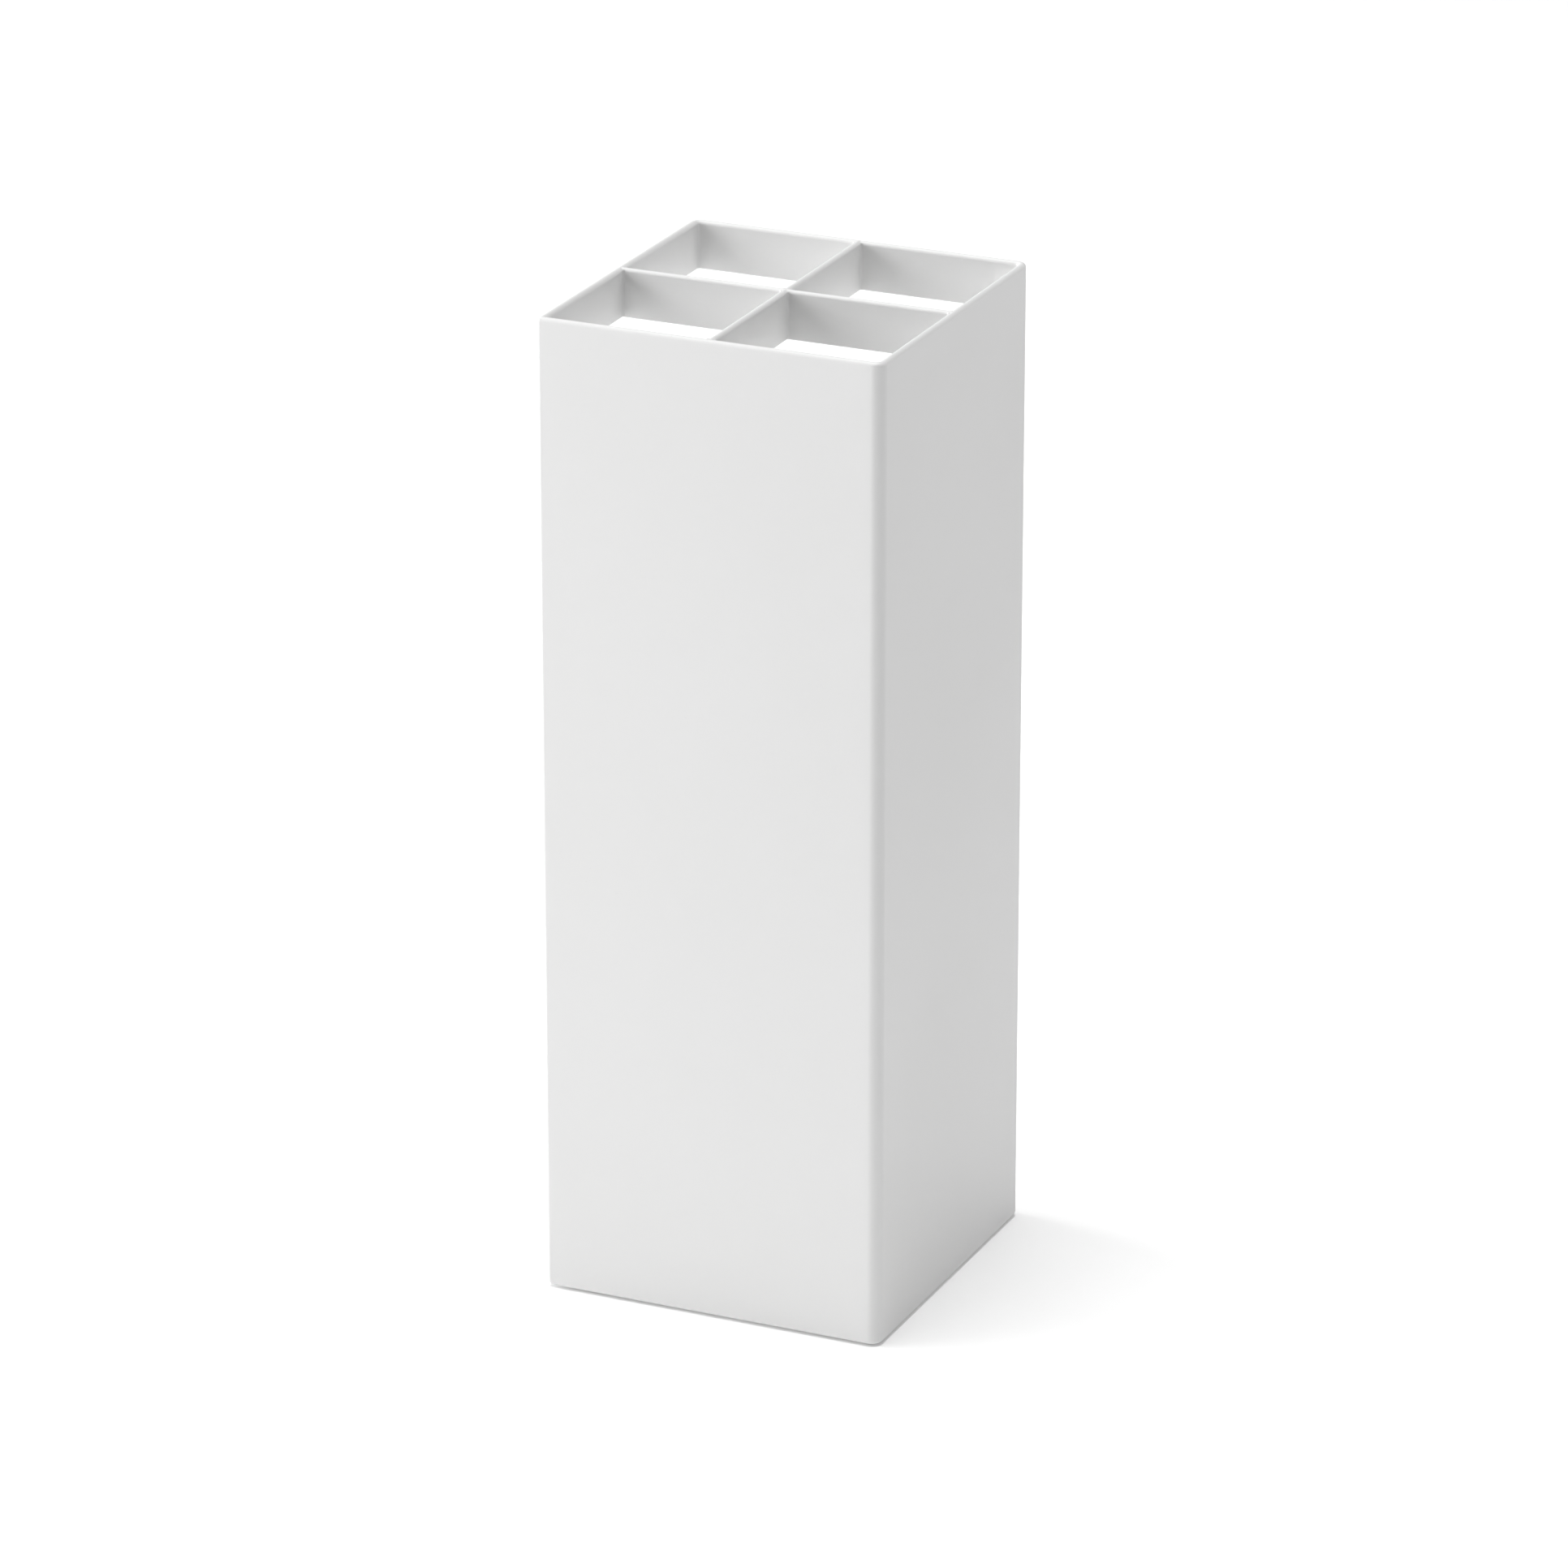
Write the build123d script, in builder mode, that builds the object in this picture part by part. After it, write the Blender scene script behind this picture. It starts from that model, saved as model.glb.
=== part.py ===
"""Square umbrella stand of folded and welded sheet steel, with a pull-out drip tray.

Millimetres, +Z up. The origin is the middle of the bounding box's bottom, on the floor.
The closed front faces -Y and the closed right side faces +X, and one bent panel makes both.
The back (+Y) and the left side (-X) are open under the rim, and the drip tray leaves by -X.
"""
from build123d import *
import os

os.makedirs("parts", exist_ok=True)

# ---- overall size ----
width = 160.0  # X, over the outer faces
depth = 160.0  # Y, over the outer faces
height = 450.0  # Z, from the floor to the top of the rim

# ---- sheet metal ----
sheet = 1.8  # sheet of the cover panel and of the base pan
hem = 2 * sheet  # a closed hem is two sheets thick
hem_depth = 8.0  # width of the hems along the free edges
bend_radius = 5.5  # outer radius of the cover panel's two upright bends
return_flange = 15.0  # how far the cover panel turns on to the back, measured from the right side
floor_gap = 1.0  # air between the cover panel's lower edge and the floor
edge_round = 1.6  # rounding of the cover panel's top edge, nearly the full round of a hem
corner_round = 2.5  # rounding of the cover panel's two lower free corners
same_length = 0.01  # lengths closer than this are the same

# ---- rim and dividers ----
rim_depth = 22.0  # depth of the rim band, of the top hem and of the dividers
band_bend_radius = 5.0  # outer radius of the rim band's bend at the back left
band_round = 1.3  # rounding of the band's long edges, less than the radius inside its bend
divider = 3.2  # thickness of the two dividers
divider_round = 1.4  # rounding of the dividers' top edges
lap_clearance = 0.1  # side gap of the half-lap where the dividers cross

# ---- base pan ----
pan_underside = 2.8  # height of the pan's underside, which is the pads' thickness too
pan_upstand = 22.0  # height of the pan's folded sides above its floor
pan_fold_clearance = 0.5  # how much rounder the pan's folds are than the bend that they sit in
hem_end_gap = 1.0  # between the pan's back hem and the cover panel's return flange

# ---- drip tray ----
tray_wall = 2.0
tray_height = 24.0
tray_side_clearance = 1.0  # between the tray and the pan's three folded sides
tray_glide = 0.3  # between the tray and the pan's floor
tray_corner = 8.0  # outer plan radius of the tray's corners
tray_foot_round = 3.0  # outer radius round the tray's floor
tray_rim_round = 0.6  # rounding of the tray's rim and of the pull lip's top
lip_reach = 6.0  # how far the pull lip stands out from the tray's left wall
lip_thickness = 2.4
lip_inset = 10.0  # from the tray's corner arcs to the ends of the pull lip
lip_corner = 3.0  # plan radius of the pull lip's free corners
rib_height = 3.0  # of the low cross that parts the tray's floor into four wells
rib_width = 1.8

# ---- foot pads ----
pad_radius = 7.0
pad_round = 0.5
pad_inset = 18.0  # from the stand's outer faces to the pads' centres

# ---- heights and faces worked out from the sizes above ----
left_face = -width / 2
front_face = -depth / 2
rim_bottom = height - rim_depth
inner_width = width - 2 * hem
inner_depth = depth - 2 * hem
pan_fold = bend_radius - hem + pan_fold_clearance
pan_floor = pan_underside + sheet
pan_top = pan_floor + pan_upstand
pan_right = width / 2 - hem
pan_length = pan_right - left_face
tray_bottom = pan_floor + tray_glide
tray_top = tray_bottom + tray_height
tray_left = left_face + lip_reach
tray_right = pan_right - sheet - tray_side_clearance
tray_length = tray_right - tray_left
tray_middle = (tray_left + tray_right) / 2
tray_width = inner_depth - 2 * (sheet + tray_side_clearance)
lip_length = tray_width - 2 * (tray_corner + lip_inset)


def wall_outline(inset):
    """Plan outline of the stand's walls, moved inwards by inset, with a bend at three corners."""
    with BuildSketch() as outline:
        Rectangle(width - 2 * inset, depth - 2 * inset)
        fillet(outline.vertices().sort_by(Axis.X)[-2:], radius=bend_radius - inset)
        back_left = outline.vertices().sort_by(Axis.X)[:2].sort_by(Axis.Y)[-1]
        fillet(back_left, radius=band_bend_radius - inset)
    return outline.sketch


def panel_plan(wall):
    """Plan of the cover panel, wall thick: front, bend, right side, bend and return flange."""
    with BuildSketch() as plan:
        add(wall_outline(0))
        add(wall_outline(wall), mode=Mode.SUBTRACT)
        with Locations((left_face, front_face + wall)):
            Rectangle(width - return_flange, depth, align=(Align.MIN, Align.MIN), mode=Mode.SUBTRACT)
    return plan.sketch


def band_plan():
    """Plan of the rim band: what the cover panel's top hem leaves of the rim, left and back."""
    with BuildSketch() as plan:
        add(wall_outline(0))
        add(wall_outline(hem), mode=Mode.SUBTRACT)
        with Locations((left_face, front_face + hem)):
            Rectangle(width - return_flange, depth, align=(Align.MIN, Align.MIN), mode=Mode.INTERSECT)
    return plan.sketch


def crosses_sheet(edge):
    """True for the short straight edges that run through the thickness of a hemmed sheet."""
    return edge.geom_type == GeomType.LINE and edge.length < hem + same_length


def rim_edges(face):
    """Edges that run along a rim face, without the short ones across its two ends."""
    return face.edges().filter_by(lambda edge: not crosses_sheet(edge))


def folded_edges(pan, floor_height, right_face):
    """Edges of the pan's folds at one side of the sheet: round the floor, and up the right corners."""
    round_floor = pan.edges().filter_by_position(Axis.Z, floor_height, floor_height)
    upright = pan.edges().filter_by(Axis.Z).filter_by_position(Axis.X, right_face, right_face)
    return round_floor.filter_by_position(Axis.X, left_face + sheet, right_face) + upright


# ---- cover panel: one sheet, bent twice, with a deep hem along the rim and narrow ones elsewhere ----
with BuildPart() as cover_panel:
    with BuildSketch(Plane.XY.offset(floor_gap)):
        add(panel_plan(sheet))
    extrude(amount=height - floor_gap)
    with BuildSketch(Plane.XY.offset(rim_bottom)):
        add(panel_plan(hem))
    extrude(amount=rim_depth)
    with BuildSketch(Plane.XY.offset(floor_gap)):
        add(panel_plan(hem))
    extrude(amount=hem_depth)
    with BuildSketch(Plane.XY.offset(floor_gap)):
        with Locations((left_face, front_face)):
            Rectangle(hem_depth, hem, align=(Align.MIN, Align.MIN))
        with Locations((width / 2 - return_flange, depth / 2)):
            Rectangle(hem_depth, hem, align=(Align.MIN, Align.MAX))
    extrude(amount=height - floor_gap)
    foot_edges = cover_panel.edges().filter_by(Axis.Y).group_by(Axis.Z)[0]
    fillet(foot_edges.filter_by(crosses_sheet), radius=corner_round)
    fillet(rim_edges(cover_panel.faces().sort_by(Axis.Z)[-1]), radius=edge_round)
cover_panel.part.label = "cover_panel"
export_step(cover_panel.part, "parts/cover_panel.step")

# ---- rim band: an L-shaped strip that closes the rim on the left and at the back ----
with BuildPart() as rim_band:
    with BuildSketch(Plane.XY.offset(rim_bottom)):
        add(band_plan())
    extrude(amount=rim_depth)
    fillet(rim_edges(rim_band.faces().sort_by(Axis.Z)[-1]), radius=band_round)
    fillet(rim_edges(rim_band.faces().sort_by(Axis.Z)[0]), radius=band_round)
rim_band.part.label = "rim_band"
export_step(rim_band.part, "parts/rim_band.step")

# ---- dividers: two strips on edge, lapped half and half where they cross ----
lap_width = divider + 2 * lap_clearance
lap_depth = rim_depth / 2

with BuildPart() as divider_front_to_back:
    with Locations((0, 0, rim_bottom)):
        Box(divider, inner_depth, rim_depth, align=(Align.CENTER, Align.CENTER, Align.MIN))
    fillet(divider_front_to_back.edges().filter_by(Axis.Y), radius=divider_round)
    with Locations((0, 0, rim_bottom)):
        Box(divider, lap_width, lap_depth, align=(Align.CENTER, Align.CENTER, Align.MIN), mode=Mode.SUBTRACT)
divider_front_to_back.part.label = "divider_front_to_back"
export_step(divider_front_to_back.part, "parts/divider_front_to_back.step")

with BuildPart() as divider_left_to_right:
    with Locations((0, 0, rim_bottom)):
        Box(inner_width, divider, rim_depth, align=(Align.CENTER, Align.CENTER, Align.MIN))
    fillet(divider_left_to_right.edges().filter_by(Axis.X), radius=divider_round)
    with Locations((0, 0, height)):
        Box(lap_width, divider, lap_depth, align=(Align.CENTER, Align.CENTER, Align.MAX), mode=Mode.SUBTRACT)
divider_left_to_right.part.label = "divider_left_to_right"
export_step(divider_left_to_right.part, "parts/divider_left_to_right.step")

# ---- base pan: a floor with three folded sides, open on the left, where the tray slides out ----
with BuildPart() as base_pan:
    with Locations((left_face, 0, pan_underside)):
        Box(pan_length, inner_depth, pan_top - pan_underside, align=(Align.MIN, Align.CENTER, Align.MIN))
    fillet(folded_edges(base_pan, pan_underside, pan_right), radius=pan_fold)
    with Locations((left_face, 0, pan_floor)):
        Box(pan_length - sheet, inner_depth - 2 * sheet, pan_upstand,
            align=(Align.MIN, Align.CENTER, Align.MIN), mode=Mode.SUBTRACT)
    fillet(folded_edges(base_pan, pan_floor, pan_right - sheet), radius=pan_fold - sheet)
    # hems: folded out at the back's top edge and under the floor's left edge
    with Locations((left_face, inner_depth / 2, pan_top)):
        Box(width - return_flange - hem_end_gap, sheet, hem_depth, align=(Align.MIN, Align.MIN, Align.MAX))
    with Locations((left_face, 0, pan_underside)):
        Box(hem_depth, inner_depth - 2 * pan_fold, sheet, align=(Align.MIN, Align.CENTER, Align.MAX))
base_pan.part.label = "base_pan"
export_step(base_pan.part, "parts/base_pan.step")

# ---- drip tray: a moulded tray with a low cross on its floor and a pull lip along its left wall ----
with BuildPart() as drip_tray:
    with BuildSketch(Plane.XY.offset(tray_bottom)):
        with Locations((tray_middle, 0)):
            RectangleRounded(tray_length, tray_width, tray_corner)
    extrude(amount=tray_height)
    fillet(drip_tray.faces().sort_by(Axis.Z)[0].edges(), radius=tray_foot_round)
    with BuildSketch(Plane.XY.offset(tray_top)):
        with Locations((tray_middle, 0)):
            RectangleRounded(tray_length - 2 * tray_wall, tray_width - 2 * tray_wall, tray_corner - tray_wall)
    extrude(amount=tray_wall - tray_height, mode=Mode.SUBTRACT)
    fillet(drip_tray.faces().filter_by(Axis.Z).sort_by(Axis.Z)[1].edges(), radius=tray_foot_round - tray_wall)
    with Locations((tray_middle, 0, tray_bottom + tray_wall)):
        Box(tray_length - 2 * tray_wall, rib_width, rib_height, align=(Align.CENTER, Align.CENTER, Align.MIN))
    with Locations((0, 0, tray_bottom + tray_wall)):
        Box(rib_width, tray_width - 2 * tray_wall, rib_height, align=(Align.CENTER, Align.CENTER, Align.MIN))
    with BuildSketch(Plane.XY.offset(tray_top)) as lip:
        with Locations((left_face, 0)):
            Rectangle(lip_reach + tray_wall, lip_length, align=(Align.MIN, Align.CENTER))
        fillet(lip.vertices().sort_by(Axis.X)[:2], radius=lip_corner)
    extrude(amount=-lip_thickness)
    fillet(drip_tray.faces().sort_by(Axis.Z)[-1].edges(), radius=tray_rim_round)
drip_tray.part.label = "drip_tray"
export_step(drip_tray.part, "parts/drip_tray.step")

# ---- foot pads: four rubber discs glued under the base pan ----
pad_places = {
    "front_left": (left_face + pad_inset, front_face + pad_inset),
    "front_right": (-left_face - pad_inset, front_face + pad_inset),
    "back_left": (left_face + pad_inset, -front_face - pad_inset),
    "back_right": (-left_face - pad_inset, -front_face - pad_inset),
}
for place, (pad_x, pad_y) in pad_places.items():
    with BuildPart() as foot_pad:
        with Locations((pad_x, pad_y, 0)):
            Cylinder(pad_radius, pan_underside, align=(Align.CENTER, Align.CENTER, Align.MIN))
        fillet(foot_pad.edges().sort_by(Axis.Z)[0], radius=pad_round)
    foot_pad.part.label = f"foot_pad_{place}"
    export_step(foot_pad.part, f"parts/foot_pad_{place}.step")
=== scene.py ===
"""Looks of a square umbrella stand: folded and welded steel under a white powder coat.

The CAD frame gives every place and every outer size. Each class below models one sub-assembly
as a sheet-metal shop or a moulder makes it, and each finish is a frozen dataclass that builds
its own material. Everything is in metres, in the frame's axes: the closed front faces -Y, the
closed right side faces +X, and the drip tray pulls out along -X.
"""

from __future__ import annotations

import logging
import math
from collections.abc import Callable
from dataclasses import dataclass
from enum import Enum

import bmesh
import bpy
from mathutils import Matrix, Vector


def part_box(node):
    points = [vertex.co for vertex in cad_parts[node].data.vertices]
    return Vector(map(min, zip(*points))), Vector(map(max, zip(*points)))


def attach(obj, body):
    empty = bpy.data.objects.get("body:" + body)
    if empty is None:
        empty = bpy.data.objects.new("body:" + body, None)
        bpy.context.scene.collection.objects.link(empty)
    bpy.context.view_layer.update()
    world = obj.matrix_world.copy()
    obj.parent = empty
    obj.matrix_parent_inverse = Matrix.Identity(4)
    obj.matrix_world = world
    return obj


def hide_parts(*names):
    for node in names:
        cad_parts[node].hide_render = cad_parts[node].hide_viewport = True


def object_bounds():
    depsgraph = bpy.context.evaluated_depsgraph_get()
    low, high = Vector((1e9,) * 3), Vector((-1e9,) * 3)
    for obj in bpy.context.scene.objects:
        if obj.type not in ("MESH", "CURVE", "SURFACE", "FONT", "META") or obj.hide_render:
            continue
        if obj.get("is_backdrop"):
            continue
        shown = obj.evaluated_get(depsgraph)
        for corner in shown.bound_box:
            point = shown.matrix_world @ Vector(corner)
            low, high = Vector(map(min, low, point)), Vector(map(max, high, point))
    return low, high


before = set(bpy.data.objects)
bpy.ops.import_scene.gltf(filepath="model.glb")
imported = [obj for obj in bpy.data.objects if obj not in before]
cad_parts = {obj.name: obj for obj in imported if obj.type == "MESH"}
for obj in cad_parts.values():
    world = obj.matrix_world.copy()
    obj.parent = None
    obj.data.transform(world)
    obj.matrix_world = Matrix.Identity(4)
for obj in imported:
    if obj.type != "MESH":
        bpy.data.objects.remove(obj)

MM = 0.001
# Two lengths closer than this count as the same.
REACH = 0.01 * MM
# A face looks along an axis where at least this much of its normal lies along it.
FACING = 0.9
log = logging.getLogger("umbrella_stand")


class Body(Enum):
    """The bodies that pieces ride on."""

    STAND = "stand"
    TRAY = "tray"


class Slot(Enum):
    """The record's material slots."""

    COAT = "powder_coat"
    PLASTIC = "tray_plastic"
    RUBBER = "foot_rubber"


def near(value: float, target: float) -> bool:
    """True where two lengths agree to a hundredth of a millimetre."""
    return abs(value - target) < REACH


# ------------------------------------------------------------------------------------ workbench


class Workpiece:
    """One mesh on the bench, shaped with the operators of edit mode and then with modifiers."""

    def __init__(self, name: str, low: Vector, high: Vector) -> None:
        """Adds a block that fills the space between two corners.

        Args:
            name: The finished piece's name.
            low: Lowest corner of the block.
            high: Highest corner of the block.
        """
        leave_edit_mode()
        bpy.ops.object.select_all(action="DESELECT")
        bpy.ops.mesh.primitive_cube_add(size=1, location=(low + high) / 2)
        self.obj = bpy.context.object
        self.obj.name = self.obj.data.name = name
        self.obj.scale = high - low
        bpy.ops.object.transform_apply(location=True, rotation=True, scale=True)

    @classmethod
    def disc(cls, name: str, low: Vector, high: Vector, sides: int) -> Workpiece:
        """Adds a round blank that fills the space between two corners.

        Args:
            name: The finished piece's name.
            low: Lowest corner of the space.
            high: Highest corner of the space.
            sides: The number of flat sides round it.

        Returns:
            The blank.
        """
        leave_edit_mode()
        piece = cls.__new__(cls)
        bpy.ops.object.select_all(action="DESELECT")
        bpy.ops.mesh.primitive_cylinder_add(
            vertices=sides, radius=(high.x - low.x) / 2, depth=high.z - low.z, location=(low + high) / 2
        )
        bpy.ops.object.transform_apply(location=True, rotation=True, scale=True)
        piece.obj = bpy.context.object
        piece.obj.name = piece.obj.data.name = name
        return piece

    @classmethod
    def copied(cls, name: str, blank: bpy.types.Mesh, step: Vector) -> Workpiece:
        """Copies a finished mesh to another place, with a mesh of its own.

        Args:
            name: The copy's name.
            blank: The mesh to copy.
            step: How far the copy moves.

        Returns:
            The copy.
        """
        leave_edit_mode()
        piece = cls.__new__(cls)
        mesh = blank.copy()
        mesh.name = name
        piece.obj = bpy.data.objects.new(name, mesh)
        bpy.context.collection.objects.link(piece.obj)
        piece.obj.location = step
        bpy.ops.object.select_all(action="DESELECT")
        piece.obj.select_set(True)
        bpy.context.view_layer.objects.active = piece.obj
        bpy.ops.object.transform_apply(location=True, rotation=True, scale=True)
        return piece

    def edit(self) -> bmesh.types.BMesh:
        """Opens the piece in edit mode, with nothing selected, and returns its edit mesh."""
        if bpy.context.mode != "EDIT_MESH":
            bpy.ops.object.select_all(action="DESELECT")
            bpy.context.view_layer.objects.active = self.obj
            self.obj.select_set(True)
            bpy.ops.object.mode_set(mode="EDIT")
        bpy.ops.mesh.select_all(action="DESELECT")
        return bmesh.from_edit_mesh(self.obj.data)

    def pick_faces(self, test: Callable[[Vector, Vector], bool]) -> int:
        """Selects the faces that pass a test.

        Args:
            test: Takes a face's middle and its normal.

        Returns:
            The number of faces selected.
        """
        mesh = self.edit()
        bpy.ops.mesh.select_mode(type="FACE")
        chosen = [face for face in mesh.faces if test(face.calc_center_median(), face.normal)]
        for face in chosen:
            face.select_set(True)
        bmesh.update_edit_mesh(self.obj.data)
        return len(chosen)

    def pick_edges(self, test: Callable[[Vector, Vector], bool]) -> int:
        """Selects the edges that pass a test.

        Args:
            test: Takes the edge's two ends.

        Returns:
            The number of edges selected.
        """
        mesh = self.edit()
        bpy.ops.mesh.select_mode(type="EDGE")
        chosen = [edge for edge in mesh.edges if test(edge.verts[0].co, edge.verts[1].co)]
        for edge in chosen:
            edge.select_set(True)
        bmesh.update_edit_mesh(self.obj.data)
        return len(chosen)

    def pull(self, step: tuple[float, float, float]) -> None:
        """Extrudes what is selected by a step."""
        bpy.ops.mesh.extrude_region_move(TRANSFORM_OT_translate={"value": step})

    def press(self, depth: float) -> None:
        """Sinks the selected faces along their normals, leaving a step round them."""
        bpy.ops.mesh.extrude_region_shrink_fatten(
            TRANSFORM_OT_shrink_fatten={"value": -depth, "use_even_offset": True}
        )

    def cut(self, place: tuple[float, float, float], normal: tuple[float, float, float]) -> None:
        """Scores the whole mesh along a plane."""
        self.edit()
        bpy.ops.mesh.select_all(action="SELECT")
        bpy.ops.mesh.bisect(plane_co=place, plane_no=normal)

    def round_off(self, radius: float, segments: int, profile: float = 0.5) -> None:
        """Bevels the selected edges.

        Args:
            radius: How far in from the edge the rounding starts.
            segments: The number of flats that make the rounding.
            profile: 0.5 for a round edge, less for a hollow one.
        """
        bpy.ops.mesh.bevel(
            offset=radius,
            offset_type="OFFSET",
            segments=segments,
            profile=profile,
            affect="EDGES",
            clamp_overlap=False,
            miter_outer="SHARP",
        )

    def join_flats(self) -> None:
        """Dissolves the lines that the extrusions left across flat faces."""
        self.edit()
        bpy.ops.mesh.select_all(action="SELECT")
        bpy.ops.mesh.dissolve_limited(angle_limit=math.radians(0.1))

    def carve(self, tool: Workpiece, operation: str = "DIFFERENCE") -> None:
        """Cuts another workpiece out of this one, or joins it on, and uses it up.

        Args:
            tool: The other workpiece.
            operation: DIFFERENCE to cut it out, UNION to join it on.
        """
        leave_edit_mode()
        boolean = self.obj.modifiers.new("carve", "BOOLEAN")
        boolean.operation = operation
        boolean.solver = "EXACT"
        boolean.object = tool.obj
        self.apply(boolean)
        bpy.data.objects.remove(tool.obj)

    def apply(self, modifier: bpy.types.Modifier) -> None:
        """Applies one modifier."""
        leave_edit_mode()
        bpy.ops.object.select_all(action="DESELECT")
        bpy.context.view_layer.objects.active = self.obj
        self.obj.select_set(True)
        bpy.ops.object.modifier_apply(modifier=modifier.name)

    def thicken(self, wall: float) -> None:
        """Gives an open shell its wall, inwards from the faces' normals."""
        solidify = self.obj.modifiers.new("wall", "SOLIDIFY")
        solidify.thickness = wall
        solidify.offset = -1
        solidify.use_even_offset = True
        self.apply(solidify)

    def smooth(self, angle: float = 35.0) -> None:
        """Shades the piece smooth, with the flats' own normals kept flat.

        Args:
            angle: The sharpest turn, in degrees, that is still shaded smooth.
        """
        leave_edit_mode()
        bpy.ops.object.select_all(action="DESELECT")
        bpy.context.view_layer.objects.active = self.obj
        self.obj.select_set(True)
        bpy.ops.object.shade_smooth_by_angle(angle=math.radians(angle))
        weights = self.obj.modifiers.new("flat_faces", "WEIGHTED_NORMAL")
        weights.keep_sharp = True
        weights.weight = 100
        self.apply(weights)

    def finish(self, body: Body, slot: Slot, material: bpy.types.Material, *nodes: str) -> None:
        """Dresses the piece and hands it to the frame.

        Args:
            body: The body that it moves with.
            slot: The record's slot for its finish; not used.
            material: What it is made of.
            nodes: The CAD nodes that it stands for.
        """
        leave_edit_mode()
        self.obj.data.materials.clear()
        self.obj.data.materials.append(material)
        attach(self.obj, body.value)
        if nodes:
            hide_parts(*nodes)
        log.info("%s: %d faces", self.obj.name, len(self.obj.data.polygons))


def leave_edit_mode() -> None:
    """Goes back to object mode if a mesh is open."""
    if bpy.context.object is not None and bpy.context.mode != "OBJECT":
        bpy.ops.object.mode_set(mode="OBJECT")


# ------------------------------------------------------------------------------------- finishes


def new_group(name: str, inputs: dict[str, float], outputs: dict[str, str]) -> bpy.types.ShaderNodeTree:
    """Starts a shader node group.

    Args:
        name: The group's name.
        inputs: Its number inputs and their defaults.
        outputs: Its outputs and their socket types.

    Returns:
        The group, with only its input and output nodes in it.
    """
    group = bpy.data.node_groups.new(name, "ShaderNodeTree")
    for label, default in inputs.items():
        socket = group.interface.new_socket(label, in_out="INPUT", socket_type="NodeSocketFloat")
        socket.default_value = default
    for label, kind in outputs.items():
        group.interface.new_socket(label, in_out="OUTPUT", socket_type=kind)
    group.nodes.new("NodeGroupInput")
    group.nodes.new("NodeGroupOutput")
    return group


class SurfaceEffects:
    """The node groups that more than one finish uses, each built once."""

    @staticmethod
    def grain() -> bpy.types.ShaderNodeTree:
        """Fine surface relief: a soft wave with a finer grain on it, and a slow drift of gloss.

        Returns:
            A group with Height, the relief, and Drift, a slow mask from 0 to 1.
        """
        if "surface_grain" in bpy.data.node_groups:
            return bpy.data.node_groups["surface_grain"]
        group = new_group(
            "surface_grain",
            {"Wave Scale": 700.0, "Grain Scale": 3200.0, "Grain Share": 0.35, "Drift Scale": 9.0},
            {"Height": "NodeSocketFloat", "Drift": "NodeSocketFloat"},
        )
        nodes, links = group.nodes, group.links
        given, result = nodes["Group Input"], nodes["Group Output"]
        place = nodes.new("ShaderNodeTexCoord").outputs["Object"]
        waves = {}
        for label, detail in (("Wave Scale", 1.0), ("Grain Scale", 2.0), ("Drift Scale", 3.0)):
            texture = nodes.new("ShaderNodeTexNoise")
            texture.inputs["Detail"].default_value = detail
            links.new(place, texture.inputs["Vector"])
            links.new(given.outputs[label], texture.inputs["Scale"])
            waves[label] = texture.outputs["Fac"]
        mix = nodes.new("ShaderNodeMix")
        mix.data_type = "FLOAT"
        links.new(given.outputs["Grain Share"], mix.inputs["Factor"])
        links.new(waves["Wave Scale"], mix.inputs["A"])
        links.new(waves["Grain Scale"], mix.inputs["B"])
        links.new(mix.outputs["Result"], result.inputs["Height"])
        links.new(waves["Drift Scale"], result.inputs["Drift"])
        return group

    @staticmethod
    def flecks() -> bpy.types.ShaderNodeTree:
        """Tiny scattered flecks, such as pigment or grit under a coat.

        Returns:
            A group with Mask, 1 in a fleck and 0 between them.
        """
        if "surface_flecks" in bpy.data.node_groups:
            return bpy.data.node_groups["surface_flecks"]
        group = new_group(
            "surface_flecks", {"Scale": 260.0, "Size": 0.06}, {"Mask": "NodeSocketFloat"}
        )
        nodes, links = group.nodes, group.links
        given, result = nodes["Group Input"], nodes["Group Output"]
        cells = nodes.new("ShaderNodeTexVoronoi")
        cells.feature = "F1"
        links.new(nodes.new("ShaderNodeTexCoord").outputs["Object"], cells.inputs["Vector"])
        links.new(given.outputs["Scale"], cells.inputs["Scale"])
        inside = nodes.new("ShaderNodeMath")
        inside.operation = "LESS_THAN"
        links.new(cells.outputs["Distance"], inside.inputs[0])
        links.new(given.outputs["Size"], inside.inputs[1])
        links.new(inside.outputs["Value"], result.inputs["Mask"])
        return group


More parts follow.
